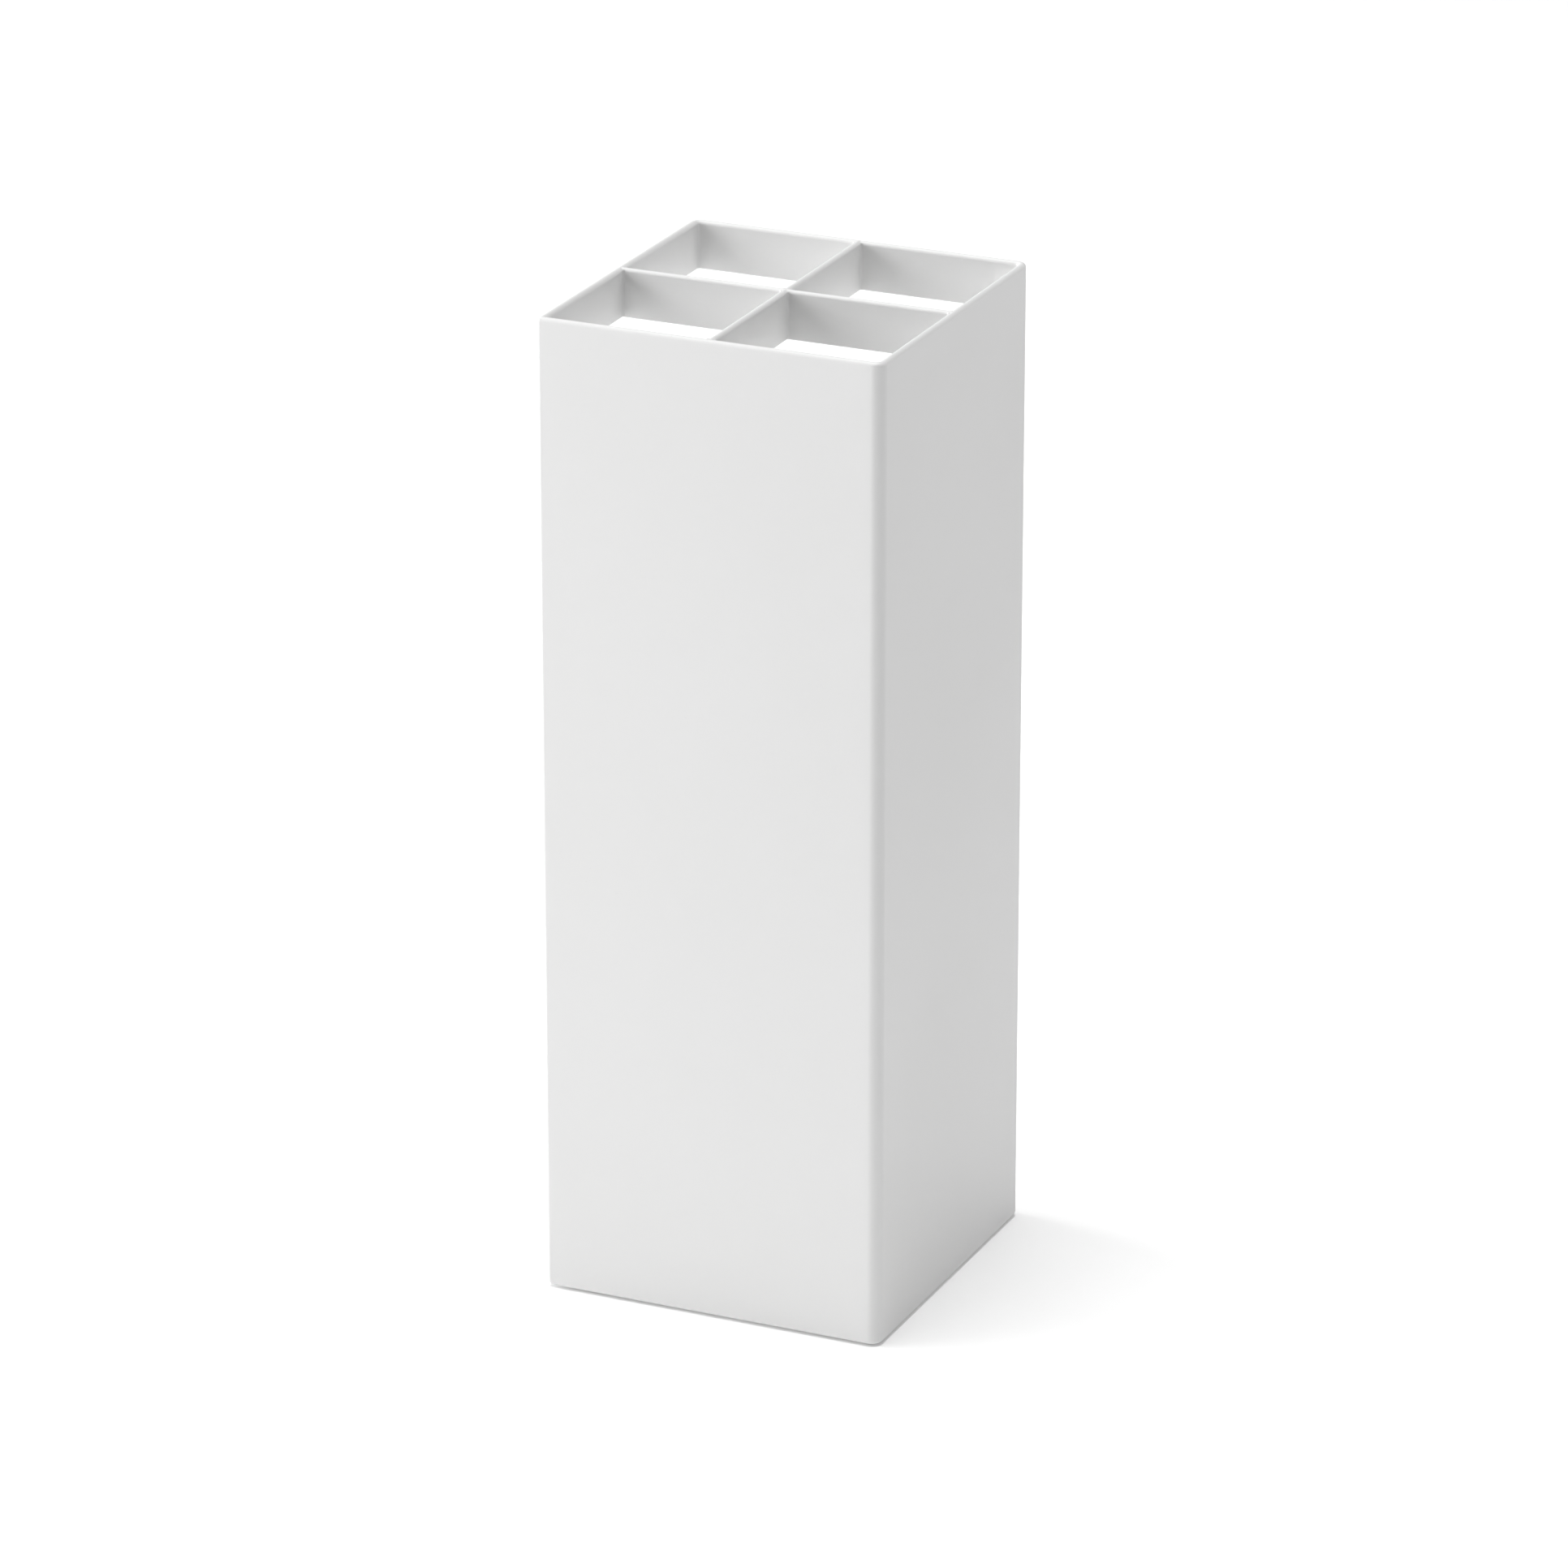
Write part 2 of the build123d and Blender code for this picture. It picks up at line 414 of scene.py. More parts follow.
@dataclass(frozen=True)
class Finish:
    """A surface finish with a grain, a slow drift of tone and gloss, and sparse flecks."""

    name: str
    tone: tuple[float, float, float]
    drift_tone: tuple[float, float, float]
    fleck_tone: tuple[float, float, float]
    gloss_low: float
    gloss_high: float
    wave_scale: float
    grain_scale: float
    grain_share: float
    relief: float
    fleck_scale: float
    fleck_size: float
    specular: float = 0.5
    coat: float = 0.0
    coat_roughness: float = 0.2

    def material(self) -> bpy.types.Material:
        """Builds the finish's material, or returns it if it is built."""
        if self.name in bpy.data.materials:
            return bpy.data.materials[self.name]
        material = bpy.data.materials.new(self.name)
        material.use_nodes = True
        nodes, links = material.node_tree.nodes, material.node_tree.links
        shader = nodes["Principled BSDF"]
        shader.inputs["Specular IOR Level"].default_value = self.specular
        shader.inputs["Coat Weight"].default_value = self.coat
        shader.inputs["Coat Roughness"].default_value = self.coat_roughness

        grain = nodes.new("ShaderNodeGroup")
        grain.node_tree = SurfaceEffects.grain()
        grain.inputs["Wave Scale"].default_value = self.wave_scale
        grain.inputs["Grain Scale"].default_value = self.grain_scale
        grain.inputs["Grain Share"].default_value = self.grain_share
        flecks = nodes.new("ShaderNodeGroup")
        flecks.node_tree = SurfaceEffects.flecks()
        flecks.inputs["Scale"].default_value = self.fleck_scale
        flecks.inputs["Size"].default_value = self.fleck_size

        tone = self.mix_colour(
            material.node_tree, grain.outputs["Drift"], self.tone, self.drift_tone
        )
        fleck = nodes.new("ShaderNodeMix")
        fleck.data_type = "RGBA"
        links.new(flecks.outputs["Mask"], fleck.inputs["Factor"])
        links.new(tone, fleck.inputs["A"])
        fleck.inputs["B"].default_value = (*self.fleck_tone, 1.0)
        links.new(fleck.outputs["Result"], shader.inputs["Base Color"])

        gloss = nodes.new("ShaderNodeMapRange")
        gloss.inputs["From Min"].default_value = 0.3
        gloss.inputs["From Max"].default_value = 0.7
        gloss.inputs["To Min"].default_value = self.gloss_low
        gloss.inputs["To Max"].default_value = self.gloss_high
        links.new(grain.outputs["Drift"], gloss.inputs["Value"])
        links.new(gloss.outputs["Result"], shader.inputs["Roughness"])

        bump = nodes.new("ShaderNodeBump")
        bump.inputs["Strength"].default_value = 1.0
        bump.inputs["Distance"].default_value = self.relief
        links.new(grain.outputs["Height"], bump.inputs["Height"])
        links.new(bump.outputs["Normal"], shader.inputs["Normal"])
        return material

    @staticmethod
    def mix_colour(
        tree: bpy.types.NodeTree,
        mask: bpy.types.NodeSocket,
        first: tuple[float, float, float],
        second: tuple[float, float, float],
    ) -> bpy.types.NodeSocket:
        """Mixes two colours by a mask.

        Args:
            tree: The material's node tree.
            mask: The socket that gives the share of the second colour.
            first: The colour where the mask is 0.
            second: The colour where the mask is 1.

        Returns:
            The socket that the mixed colour comes out of.
        """
        node = tree.nodes.new("ShaderNodeMix")
        node.data_type = "RGBA"
        tree.links.new(mask, node.inputs["Factor"])
        node.inputs["A"].default_value = (*first, 1.0)
        node.inputs["B"].default_value = (*second, 1.0)
        return node.outputs["Result"]


POWDER_COAT = Finish(
    name="white_powder_coat",
    tone=(0.86, 0.86, 0.86),
    drift_tone=(0.845, 0.845, 0.84),
    fleck_tone=(0.80, 0.80, 0.79),
    gloss_low=0.36,
    gloss_high=0.44,
    wave_scale=650.0,
    grain_scale=2600.0,
    grain_share=0.3,
    relief=0.012 * MM,
    fleck_scale=160.0,
    fleck_size=0.03,
)
TRAY_PLASTIC = Finish(
    name="grey_tray_plastic",
    tone=(0.62, 0.63, 0.64),
    drift_tone=(0.59, 0.60, 0.61),
    fleck_tone=(0.52, 0.53, 0.54),
    gloss_low=0.46,
    gloss_high=0.58,
    wave_scale=1500.0,
    grain_scale=4200.0,
    grain_share=0.6,
    relief=0.02 * MM,
    fleck_scale=420.0,
    fleck_size=0.05,
)
FOOT_RUBBER = Finish(
    name="grey_foot_rubber",
    tone=(0.085, 0.085, 0.09),
    drift_tone=(0.11, 0.11, 0.112),
    fleck_tone=(0.2, 0.2, 0.2),
    gloss_low=0.7,
    gloss_high=0.85,
    wave_scale=900.0,
    grain_scale=5200.0,
    grain_share=0.7,
    relief=0.05 * MM,
    fleck_scale=900.0,
    fleck_size=0.08,
)


# ---------------------------------------------------------------------------------- sheet metal


@dataclass
class CoverPanel:
    """The sheet that closes the front and the right side, with its two bends and its hems."""

    sheet: float = 1.8 * MM
    hem_depth: float = 8.0 * MM
    bend_radius: float = 5.5 * MM
    return_flange: float = 15.0 * MM
    edge_round: float = 1.7 * MM
    corner_round: float = 2.5 * MM
    corner_segments: int = 12
    bend_segments: int = 16
    edge_segments: int = 8

    def __post_init__(self) -> None:
        """Takes the outer faces and the rim's depth from the frame."""
        self.low, self.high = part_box("cover_panel")
        self.rim_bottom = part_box("rim_band")[0].z
        self.hem = 2 * self.sheet
        self.flange_end = self.high.x - self.return_flange

    def build(self) -> None:
        """Sweeps the hemmed wall round the plan, bends it and presses it thin between the hems."""
        low, high, hem = self.low, self.high, self.hem
        first = Vector((low.x + self.hem_depth, low.y + hem, high.z))
        panel = Workpiece("cover_panel_skin", low, first)
        panel.pick_faces(lambda place, normal: normal.x > FACING)
        panel.pull((high.x - hem - first.x, 0, 0))
        panel.pull((hem, 0, 0))
        panel.pick_faces(lambda place, normal: normal.y > FACING and place.x > high.x - hem)
        panel.pull((0, high.y - low.y - 2 * hem, 0))
        panel.pull((0, hem, 0))
        panel.pick_faces(lambda place, normal: normal.x < -FACING and place.y > high.y - hem)
        panel.pull((self.flange_end - high.x + hem, 0, 0))
        panel.join_flats()
        self.bend(panel)
        self.round_edges(panel)
        self.part_walls(panel)
        self.press_between_hems(panel)
        panel.smooth()
        panel.finish(Body.STAND, Slot.COAT, POWDER_COAT.material(), "cover_panel")

    def bend(self, panel: Workpiece) -> None:
        """Rounds the two upright bends, outside and inside, and the two lower free corners."""
        for inset in (0.0, self.hem):
            face = self.high.x - inset
            panel.pick_edges(
                lambda a, b: upright(a, b) and near(a.x, face) and near(abs(a.y), face)
            )
            panel.round_off(self.bend_radius - inset, self.bend_segments)
        panel.pick_edges(
            lambda a, b: near(a.z, self.low.z) and near(b.z, self.low.z) and near(a.x, b.x)
            and (near(a.x, self.low.x) or near(a.x, self.flange_end))
        )
        panel.round_off(self.corner_round, self.corner_segments)

    def round_edges(self, panel: Workpiece) -> None:
        """Rolls the rim, the foot and the free upright edges, and breaks the hems' cut edges."""
        inner_y = self.low.y + self.hem
        outside = (self.low.y, -self.low.y, inner_y, -inner_y)

        def rolled(a: Vector, b: Vector) -> bool:
            """True on the rim, the foot and the free upright edges."""
            if near(a.z, self.high.z) and near(b.z, self.high.z):
                return not (near(a.x, self.flange_end) and near(b.x, self.flange_end))
            at_foot = max(a.z, b.z) < self.low.z + self.corner_round + REACH
            if at_foot and not upright(a, b):
                return on_outline(a) and on_outline(b) and not crosses(a, b)
            free_left = near(a.x, self.low.x) and near(b.x, self.low.x)
            below_rim = max(a.z, b.z) < self.rim_bottom + REACH
            free_flange = near(a.x, self.flange_end) and near(b.x, self.flange_end) and below_rim
            return upright(a, b) and (free_left or free_flange)

        def on_outline(point: Vector) -> bool:
            """True where a point is on the foot or on a wall's outer or inner face."""
            return near(point.z, self.low.z) or any(near(point.y, face) for face in outside)

        def crosses(a: Vector, b: Vector) -> bool:
            """True on the short lines across the wall above the foot."""
            return not near(a.y, b.y) and near(a.x, b.x) and not near(a.z, self.low.z)

        panel.cut((0, 0, self.rim_bottom), (0, 0, 1))
        panel.pick_edges(rolled)
        panel.round_off(self.edge_round, self.edge_segments)

    def part_walls(self, panel: Workpiece) -> None:
        """Scores the mesh where each flat wall meets a bend, so that no face turns a corner."""
        panel.cut((self.high.x - self.bend_radius, 0, 0), (1, 0, 0))
        for face in (self.low.y + self.bend_radius, self.high.y - self.bend_radius):
            panel.cut((0, face, 0), (0, 1, 0))

    def press_between_hems(self, panel: Workpiece) -> None:
        """Scores the hems' inner edges and sinks the inner face between them by one sheet."""
        lower, upper = self.low.z + self.hem_depth, self.rim_bottom
        left, right = self.low.x + self.hem_depth, self.flange_end + self.hem_depth
        panel.cut((0, 0, lower), (0, 0, 1))
        panel.cut((left, 0, 0), (1, 0, 0))
        panel.cut((right, 0, 0), (1, 0, 0))

        def between(place: Vector, normal: Vector) -> bool:
            """True on the inner face between the hems, off the flange."""
            faces_in = place.x * normal.x + place.y * normal.y < 0 and abs(normal.z) < 1 - FACING
            off_flange_hem = place.y < 0 or place.x > right
            return faces_in and lower < place.z < upper and place.x > left and off_flange_hem

        panel.pick_faces(between)
        panel.press(self.sheet)


def upright(a: Vector, b: Vector) -> bool:
    """True where an edge runs straight up."""
    return near(a.x, b.x) and near(a.y, b.y)


@dataclass
class RimBand:
    """The strip on edge that closes the rim on the left and at the back."""

    wall: float = 3.6 * MM
    bend_radius: float = 5.0 * MM
    top_round: float = 1.7 * MM
    foot_round: float = 0.7 * MM
    bend_segments: int = 12
    edge_segments: int = 8
    bite: float = 1.6 * MM

    def build(self) -> None:
        """Bends the strip round the back left corner, with one end let into the cover panel."""
        low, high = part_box("rim_band")
        band = Workpiece(
            "rim_band_strip",
            Vector((low.x, low.y - self.bite, low.z)),
            Vector((low.x + self.wall, high.y - self.wall, high.z)),
        )
        band.pick_faces(lambda place, normal: normal.y > FACING)
        band.pull((0, self.wall, 0))
        band.pick_faces(lambda place, normal: normal.x > FACING and place.y > high.y - self.wall)
        band.pull((high.x - low.x - self.wall, 0, 0))
        band.join_flats()
        for inset in (0.0, self.wall):
            band.pick_edges(
                lambda a, b: upright(a, b) and near(a.x, low.x + inset) and near(a.y, high.y - inset)
            )
            band.round_off(self.bend_radius - inset, self.bend_segments)
        for height, radius in ((high.z, self.top_round), (low.z, self.foot_round)):
            band.pick_edges(
                lambda a, b: near(a.z, height) and near(b.z, height)
                and not at_end(a, b, low.y - self.bite, high.x)
            )
            band.round_off(radius, self.edge_segments)
        band.smooth()
        band.finish(Body.STAND, Slot.COAT, POWDER_COAT.material(), "rim_band")


def at_end(a: Vector, b: Vector, front: float, right: float) -> bool:
    """True where an edge lies across the band's front end or its right end."""
    return (near(a.y, front) and near(b.y, front)) or (near(a.x, right) and near(b.x, right))


class Direction(Enum):
    """The way a divider runs."""

    FRONT_TO_BACK = "divider_front_to_back"
    LEFT_TO_RIGHT = "divider_left_to_right"


@dataclass
class Divider:
    """One of the two strips on edge, lapped half and half where they cross."""

    direction: Direction
    top_round: float = 1.5 * MM
    foot_round: float = 0.6 * MM
    edge_segments: int = 8
    bite: float = 1.6 * MM
    lap_bite: float = 1.5 * MM

    def build(self) -> None:
        """Rolls the strip's long edges, lets its ends into the rim and cuts its half of the lap."""
        low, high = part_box(self.direction.value)
        along = Vector((0, 1, 0)) if self.direction is Direction.FRONT_TO_BACK else Vector((1, 0, 0))
        across = Vector((along.y, along.x, 0))
        half = min(high.x, high.y)
        strip = Workpiece(
            self.direction.value + "_strip", low - along * self.bite, high + along * self.bite
        )
        for height, radius in ((high.z, self.top_round), (low.z, self.foot_round)):
            strip.pick_edges(
                lambda a, b: near(a.z, height) and near(b.z, height) and near(a.dot(across), b.dot(across))
            )
            strip.round_off(radius, self.edge_segments)
        middle = (low.z + high.z) / 2
        notch_low, notch_high = (low.z - half, middle) if along.y else (middle, high.z + half)
        notch = (half - self.lap_bite) * along + 2 * half * across
        notch_corner = Vector((-notch.x, -notch.y, notch_low))
        strip.carve(Workpiece("notch", notch_corner, Vector((notch.x, notch.y, notch_high))))
        strip.smooth()
        strip.finish(Body.STAND, Slot.COAT, POWDER_COAT.material(), self.direction.value)


@dataclass
class RimWelds:
    """The small dressed fillets up the inner corners where the dividers meet the rim."""

    radius: float = 1.0 * MM
    segments: int = 6
    hollow: float = 0.12
    top_gap: float = 1.05 * MM
    tip: tuple[tuple[float, float], ...] = ((0.4 * MM, 0.93), (0.25 * MM, 0.8), (0.12 * MM, 0.65))
    foot_gap: float = 0.4 * MM
    seat: float = 0.2 * MM

    def corners(self) -> list[tuple[float, float, int, int]]:
        """Every inner corner of the four cells that has a weld.

        Returns:
            The corner's X and Y, and the signs of the directions that its cell lies in.
        """
        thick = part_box("divider_front_to_back")[1].x
        wall_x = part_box("divider_left_to_right")[1].x
        wall_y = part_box("divider_front_to_back")[1].y
        found = []
        for side_x in (-1, 1):
            for side_y in (-1, 1):
                found.append((side_x * thick, side_y * thick, side_x, side_y))
                found.append((side_x * thick, side_y * wall_y, side_x, -side_y))
                found.append((side_x * wall_x, side_y * thick, -side_x, side_y))
        found.append((-wall_x, -wall_y, 1, 1))
        return found

    def build(self) -> None:
        """Models one fillet, copies it to every corner and joins the copies."""
        low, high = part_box("divider_front_to_back")
        size = self.radius + self.seat
        bead = Workpiece(
            "rim_welds",
            Vector((0, 0, low.z + self.foot_gap)),
            Vector((size, size, high.z - self.top_gap)),
        )
        bead.pick_edges(lambda a, b: upright(a, b) and near(a.x, size) and near(a.y, size))
        bead.round_off(self.radius - REACH, self.segments, self.hollow)
        bead.pick_faces(lambda place, normal: normal.z > FACING)
        for rise, share in self.tip:
            bead.pull((0, 0, rise))
            bpy.ops.transform.resize(value=(share, share, 1), center_override=(0, 0, 0))
        leave_edit_mode()
        copies = []
        for place_x, place_y, sign_x, sign_y in self.corners():
            copy = bead.obj.copy()
            copy.data = bead.obj.data.copy()
            bpy.context.collection.objects.link(copy)
            copy.scale = (sign_x, sign_y, 1)
            copy.location = (place_x - sign_x * self.seat, place_y - sign_y * self.seat, 0)
            copies.append(copy)
        bpy.data.objects.remove(bead.obj)
        bpy.ops.object.select_all(action="DESELECT")
        for copy in copies:
            copy.select_set(True)
        bpy.context.view_layer.objects.active = copies[0]
        bpy.ops.object.transform_apply(location=True, rotation=True, scale=True)
        bpy.ops.object.join()
        bead.obj = bpy.context.object
        bead.obj.name = bead.obj.data.name = "rim_welds"
        bead.edit()
        bpy.ops.mesh.select_all(action="SELECT")
        bpy.ops.mesh.normals_make_consistent(inside=False)
        bead.smooth(50)
        bead.finish(Body.STAND, Slot.COAT, POWDER_COAT.material())


@dataclass
class BasePan:
    """The folded floor: a sheet with three sides turned up and two of its free edges hemmed."""

    sheet: float = 1.8 * MM
    fold_radius: float = 1.0 * MM
    segments: int = 6
    floor_height: float = 4.6 * MM
    hem_depth: float = 8.0 * MM
    relief: float = 1.0 * MM
    back_hem_end: float = 64.0 * MM

    def __post_init__(self) -> None:
        """Takes the outer size from the frame and places the folds and the hems in it."""
        self.low, self.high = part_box("base_pan")
        self.back = -self.low.y
        self.under = self.floor_height - self.sheet
        self.left = self.low.x + self.sheet
        self.top = self.high.z - self.sheet
        self.hem_end = self.back - self.sheet - self.fold_radius - self.relief

    def build(self) -> None:
        """Folds the sheet up on three sides, then hems its left edge and its back wall's top."""
        low, high = self.low, self.high
        pan = Workpiece(
            "base_pan_sheet", Vector((self.left, low.y, self.under)), Vector((high.x, self.back, self.top))
        )
        pan.pick_faces(lambda place, normal: normal.z > FACING or normal.x < -FACING)
        bpy.ops.mesh.delete(type="FACE")
        pan.pick_edges(
            lambda a, b: near(a.z, self.under) and near(b.z, self.under)
            and not (near(a.x, self.left) and near(b.x, self.left))
            or upright(a, b) and near(a.x, high.x)
        )
        pan.round_off(self.fold_radius + self.sheet, self.segments)
        pan.thicken(self.sheet)
        self.score(pan)
        self.raise_rims(pan)
        self.fold_hems(pan)
        pan.smooth()
        pan.finish(Body.STAND, Slot.COAT, POWDER_COAT.material(), "base_pan")

    def score(self, pan: Workpiece) -> None:
        """Scores the sheet where the hems and their relief slots begin and end."""
        for place in (self.back_hem_end, self.back_hem_end + self.relief, self.low.x + self.hem_depth):
            pan.cut((place, 0, 0), (1, 0, 0))
        for place in (-self.hem_end, self.hem_end):
            pan.cut((0, place, 0), (0, 1, 0))
        pan.cut((0, 0, self.high.z - self.hem_depth), (0, 0, 1))

    def raise_rims(self, pan: Workpiece) -> None:
        """Brings the cut edges out to the full size, all but the relief slots beside the hems."""
        fold_start = self.hem_end + self.relief

        def at_left(place: Vector, normal: Vector) -> bool:
            """True on the cut edges at the left."""
            return normal.x < -FACING and near(place.x, self.left)

        def at_top(place: Vector, normal: Vector) -> bool:
            """True on the cut edges on top."""
            return normal.z > FACING and near(place.z, self.top)

        def on_back(place: Vector) -> bool:
            """True over the back wall."""
            return place.y > self.back - self.sheet

        pan.pick_faces(lambda place, normal: at_left(place, normal) and abs(place.y) < self.hem_end)
        pan.pull((-self.sheet, 0, 0))
        pan.pick_faces(lambda place, normal: at_left(place, normal) and abs(place.y) > fold_start)
        pan.pull((-self.sheet, 0, 0))
        pan.pick_faces(
            lambda place, normal: at_top(place, normal) and on_back(place) and place.x < self.back_hem_end
        )
        pan.pull((0, 0, self.sheet))
        pan.pick_faces(
            lambda place, normal: at_top(place, normal)
            and (not on_back(place) or place.x > self.back_hem_end + self.relief)
        )
        pan.pull((0, 0, self.sheet))

    def fold_hems(self, pan: Workpiece) -> None:
        """Lays the second layers on, and rolls the two noses."""
        low, high = self.low, self.high
        pan.pick_faces(
            lambda place, normal: normal.y > FACING and near(place.y, self.back)
            and place.z > high.z - self.hem_depth and place.x < self.back_hem_end
        )
        pan.pull((0, high.y - self.back, 0))
        pan.pick_faces(
            lambda place, normal: normal.z < -FACING and near(place.z, self.under)
            and abs(place.y) < self.hem_end and place.x < low.x + self.hem_depth
        )
        pan.pull((0, 0, low.z - self.under))
        pan.pick_edges(
            lambda a, b: all(near(p.x, low.x) and abs(p.y) < self.hem_end + REACH for p in (a, b))
            and near(a.z, b.z) and (near(a.z, low.z) or near(a.z, self.floor_height))
            or all(near(p.z, high.z) and p.x < self.back_hem_end + REACH for p in (a, b))
            and near(a.y, b.y) and (near(a.y, high.y) or near(a.y, self.back - self.sheet))
        )
        pan.round_off(self.sheet - REACH, self.segments)


# ------------------------------------------------------------------------------------- mouldings


@dataclass
class DripTray:
    """The moulded tray that stands in the base pan and pulls out to the left."""

    wall: float = 2.0 * MM
    corner: float = 8.0 * MM
    foot_round: float = 3.0 * MM
    rim_round: float = 0.6 * MM
    rim_segments: int = 4
    lip_reach: float = 6.0 * MM
    lip_thickness: float = 2.4 * MM
    lip_inset: float = 10.0 * MM
    lip_corner: float = 3.0 * MM
    lip_edge: float = 0.7 * MM
    rib_width: float = 1.8 * MM
    rib_height: float = 3.0 * MM
    rib_round: float = 0.7 * MM
    corner_segments: int = 12
    edge_segments: int = 5

    def build(self) -> None:
        """Moulds the open box, then joins on the pull lip and the cross on its floor."""
        low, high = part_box("drip_tray")
        left = low.x + self.lip_reach
        tray = Workpiece("drip_tray_moulding", Vector((left, low.y, low.z)), high)
        tray.pick_faces(lambda place, normal: normal.z > FACING)
        bpy.ops.mesh.delete(type="FACE")
        tray.pick_edges(upright)
        tray.round_off(self.corner, self.corner_segments)
        tray.pick_edges(lambda a, b: near(a.z, low.z) and near(b.z, low.z))
        tray.round_off(self.foot_round, self.edge_segments)
        tray.thicken(self.wall)
        tray.pick_edges(
            lambda a, b: near(a.z, high.z) and near(b.z, high.z) and not near((a - b).length, self.wall)
        )
        tray.round_off(self.rim_round, self.rim_segments)
        tray.carve(self.pull_lip(low, high, left), "UNION")
        for rib in self.ribs(low, high, left):
            tray.carve(rib, "UNION")
        tray.smooth(40)
        tray.finish(Body.TRAY, Slot.PLASTIC, TRAY_PLASTIC.material(), "drip_tray")

    def pull_lip(self, low: Vector, high: Vector, left: float) -> Workpiece:
        """Shapes the ledge along the left wall that fingers hook under.

        Args:
            low: The tray's lowest corner.
            high: The tray's highest corner.
            left: Where the left wall's outer face is.

        Returns:
            The ledge, let into half the wall.
        """
        half = high.y - self.corner - self.lip_inset
        lip = Workpiece(
            "pull_lip",
            Vector((low.x, -half, high.z - self.lip_thickness)),
            Vector((left + self.wall / 2, half, high.z)),
        )
        lip.pick_edges(lambda a, b: upright(a, b) and near(a.x, low.x))
        lip.round_off(self.lip_corner, self.corner_segments)
        lip.pick_edges(
            lambda a, b: near(a.z, b.z) and not (near(a.x, b.x) and near(a.x, left + self.wall / 2))
        )
        lip.round_off(self.lip_edge, self.edge_segments)
        leave_edit_mode()
        return lip

    def ribs(self, low: Vector, high: Vector, left: float) -> list[Workpiece]:
        """Shapes the two low ribs that cross under the dividers and make four wells.

        Args:
            low: The tray's lowest corner.
            high: The tray's highest corner.
            left: Where the left wall's outer face is.

        Returns:
            The two ribs, let into half the floor and half the walls.
        """
        foot = low.z + self.wall / 2
        top = low.z + self.wall + self.rib_height
        half = self.rib_width / 2
        sink = self.wall / 2
        spans = (
            (Vector((left + sink, -half, foot)), Vector((high.x - sink, half, top))),
            (Vector((-half, low.y + sink, foot)), Vector((half, high.y - sink, top))),
        )
        ribs = []
        for span_low, span_high in spans:
            rib = Workpiece("floor_rib", span_low, span_high)
            runs_along_x = span_high.x - span_low.x > self.rib_width * 2
            rib.pick_edges(
                lambda a, b: near(a.z, top) and near(b.z, top)
                and (near(a.y, b.y) if runs_along_x else near(a.x, b.x))
            )
            rib.round_off(self.rib_round, self.edge_segments)
            leave_edit_mode()
            ribs.append(rib)
        return ribs


@dataclass
class FootPads:
    """The four rubber pads glued under the base pan, each with a shallow cup in its underside."""

    edge_round: float = 0.5 * MM
    cup_inset: float = 1.6 * MM
    cup_depth: float = 0.5 * MM
    sides: int = 48
    edge_segments: int = 4

    def build(self) -> None:
        """Moulds one pad and copies it to the other three places."""
        names = [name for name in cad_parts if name.startswith("foot_pad_")]
        first_low, first_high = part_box(names[0])
        pad = Workpiece.disc(names[0] + "_moulding", first_low, first_high, self.sides)
        pad.pick_faces(lambda place, normal: normal.z < -FACING)
        bpy.ops.mesh.inset(thickness=self.cup_inset, depth=0)
        pad.press(self.cup_depth)
        pad.pick_edges(lambda a, b: near(a.z, b.z) and near_rim(a, b, first_low, first_high))
        pad.round_off(self.edge_round, self.edge_segments)
        pad.smooth()
        blank = pad.obj.data.copy()
        pad.finish(Body.STAND, Slot.RUBBER, FOOT_RUBBER.material(), names[0])
        for name in names[1:]:
            copy = Workpiece.copied(name + "_moulding", blank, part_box(name)[0] - first_low)
            copy.finish(Body.STAND, Slot.RUBBER, FOOT_RUBBER.material(), name)
        bpy.data.meshes.remove(blank)


def near_rim(a: Vector, b: Vector, low: Vector, high: Vector) -> bool:
    """True where an edge lies on the outer circle of a round blank."""
    middle, radius = (low + high) / 2, (high.x - low.x) / 2
    return all(abs(math.hypot(p.x - middle.x, p.y - middle.y) - radius) < REACH for p in (a, b))


# ---------------------------------------------------------------------------------------- studio


@dataclass(frozen=True)
class SoftBox:
    """A soft square light that looks at the stand."""

    name: str
    azimuth: float
    elevation: float
    distance: float
    size: float
    power: float
    colour: tuple[float, float, float] = (1.0, 1.0, 1.0)

    def hang(self, target: Vector) -> None:
        """Hangs the light round the target and turns it to face it."""
        light = bpy.data.lights.new(self.name, "AREA")
        light.shape = "SQUARE"
        light.size = self.size
        light.energy = self.power
        light.color = self.colour
        turn, rise = math.radians(self.azimuth), math.radians(self.elevation)
        away = Vector(
            (math.sin(turn) * math.cos(rise), -math.cos(turn) * math.cos(rise), math.sin(rise))
        )
        holder = bpy.data.objects.new(self.name, light)
        holder.location = target + away * self.distance
        holder.rotation_euler = (-away).to_track_quat("-Z", "Y").to_euler()
        bpy.context.scene.collection.objects.link(holder)


@dataclass(frozen=True)
class Overhead:
    """A wide, far light straight above, which lights the floor evenly."""

    name: str = "overhead"
    strength: float = 2.45
    spread: float = 30.0

    def hang(self) -> None:
        """Hangs the light pointing straight down."""
        light = bpy.data.lights.new(self.name, "SUN")
        light.energy = self.strength
        light.angle = math.radians(self.spread)
        holder = bpy.data.objects.new(self.name, light)
        bpy.context.scene.collection.objects.link(holder)


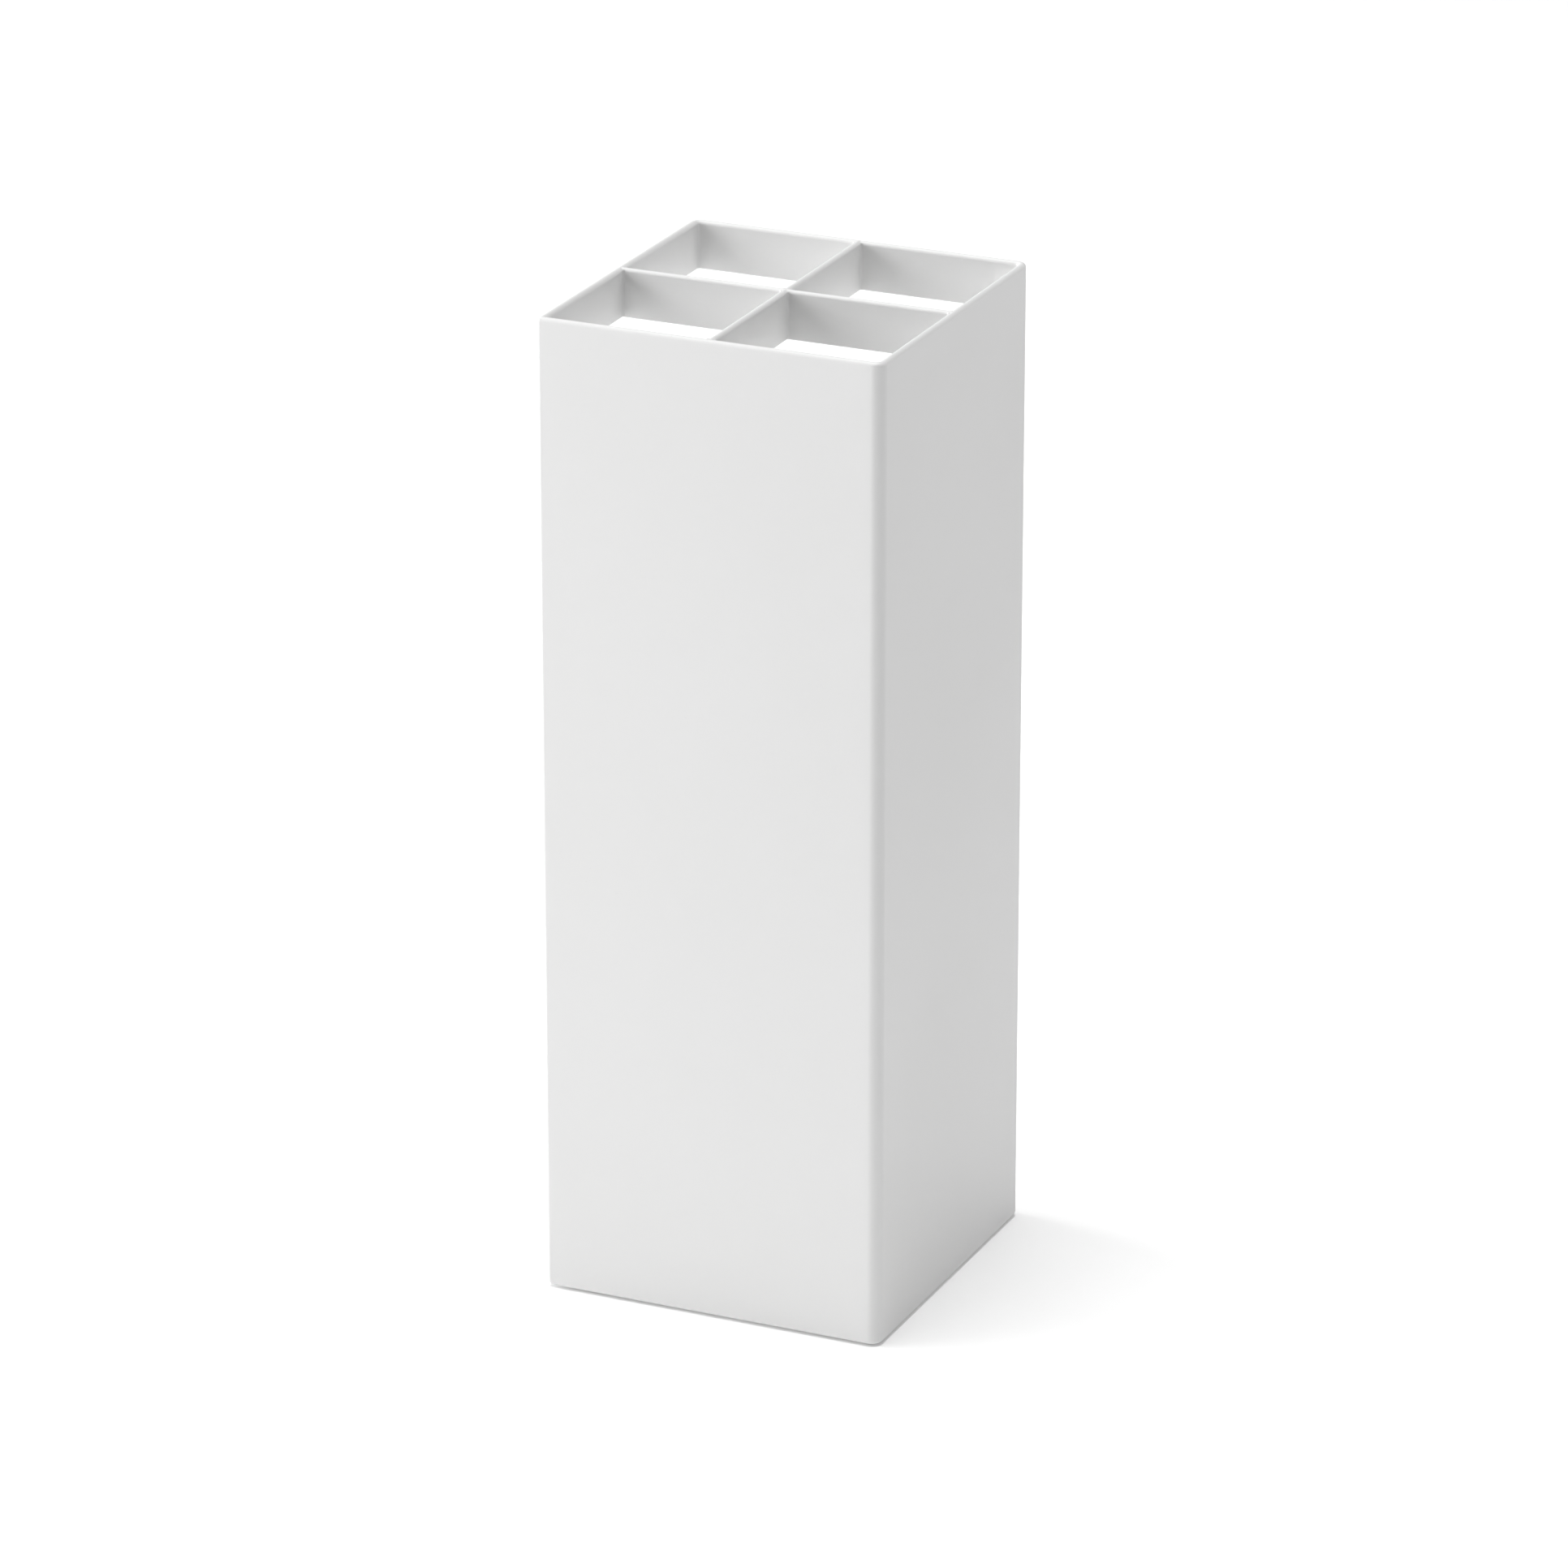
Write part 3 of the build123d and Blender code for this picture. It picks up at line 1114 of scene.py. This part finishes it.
@dataclass
class Studio:
    """The floor, the lights and the camera."""

    floor_size: float = 30.0
    floor_tone: float = 0.93
    floor_glow: float = 0.14
    camera_place: tuple[float, float, float] = (1.3368, -2.98117, 1.46851)
    camera_turn: float = 24.1655
    camera_tilt: float = 20.8643
    lens: float = 183.157
    sensor: float = 36.0
    overhead: Overhead = Overhead()
    boxes: tuple[SoftBox, ...] = (
        SoftBox("left_near", -90, 15, 2.6, 1.2, 30),
        SoftBox("left_far", -90, 20, 5.0, 2.4, 36),
        SoftBox("front_left", -60, 27, 2.6, 1.2, 21.5),
        SoftBox("front", -30, 15, 2.6, 1.2, 7),
        SoftBox("right_back", 120, 50, 1.4, 0.7, 2.35),
    )

    def set_up(self) -> None:
        """Lays the floor, hangs the lights and places the camera."""
        self.lay_floor()
        self.darken_sky()
        target = Vector((0, 0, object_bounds()[1][2] / 2))
        self.overhead.hang()
        for box in self.boxes:
            box.hang(target)
        self.place_camera()

    def lay_floor(self) -> None:
        """A plain pale floor."""
        leave_edit_mode()
        bpy.ops.object.select_all(action="DESELECT")
        bpy.ops.mesh.primitive_plane_add(size=self.floor_size)
        floor = bpy.context.object
        floor.name = "studio_floor"
        material = bpy.data.materials.new("pale_floor")
        material.use_nodes = True
        shader = material.node_tree.nodes["Principled BSDF"]
        shader.inputs["Base Color"].default_value = (self.floor_tone,) * 3 + (1,)
        shader.inputs["Emission Color"].default_value = (1, 1, 1, 1)
        shader.inputs["Emission Strength"].default_value = self.floor_glow
        shader.inputs["Roughness"].default_value = 0.9
        shader.inputs["Specular IOR Level"].default_value = 0.1
        floor.data.materials.append(material)
        floor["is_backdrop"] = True

    def darken_sky(self) -> None:
        """No light but the lamps' own, shown with plain display colours."""
        world = bpy.data.worlds.new("studio_sky")
        world.use_nodes = True
        world.node_tree.nodes["Background"].inputs["Strength"].default_value = 0.0
        bpy.context.scene.world = world
        bpy.context.scene.view_settings.view_transform = "Standard"

    def place_camera(self) -> None:
        """A long lens, above and to the right of the front."""
        data = bpy.data.cameras.new("studio_camera")
        data.lens = self.lens
        data.sensor_width = self.sensor
        camera = bpy.data.objects.new("studio_camera", data)
        camera.location = self.camera_place
        camera.rotation_euler = (math.radians(90 - self.camera_tilt), 0, math.radians(self.camera_turn))
        bpy.context.scene.collection.objects.link(camera)
        bpy.context.scene.camera = camera


# ------------------------------------------------------------------------------------------ main


def main() -> None:
    """Builds the stand's looks in order, dresses it and sets up the studio."""
    logging.basicConfig(level=logging.INFO, format="%(name)s: %(message)s")
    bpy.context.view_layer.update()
    CoverPanel().build()
    RimBand().build()
    for direction in Direction:
        Divider(direction).build()
    RimWelds().build()
    BasePan().build()
    DripTray().build()
    FootPads().build()
    Studio().set_up()


if __name__ == "__main__":
    main()
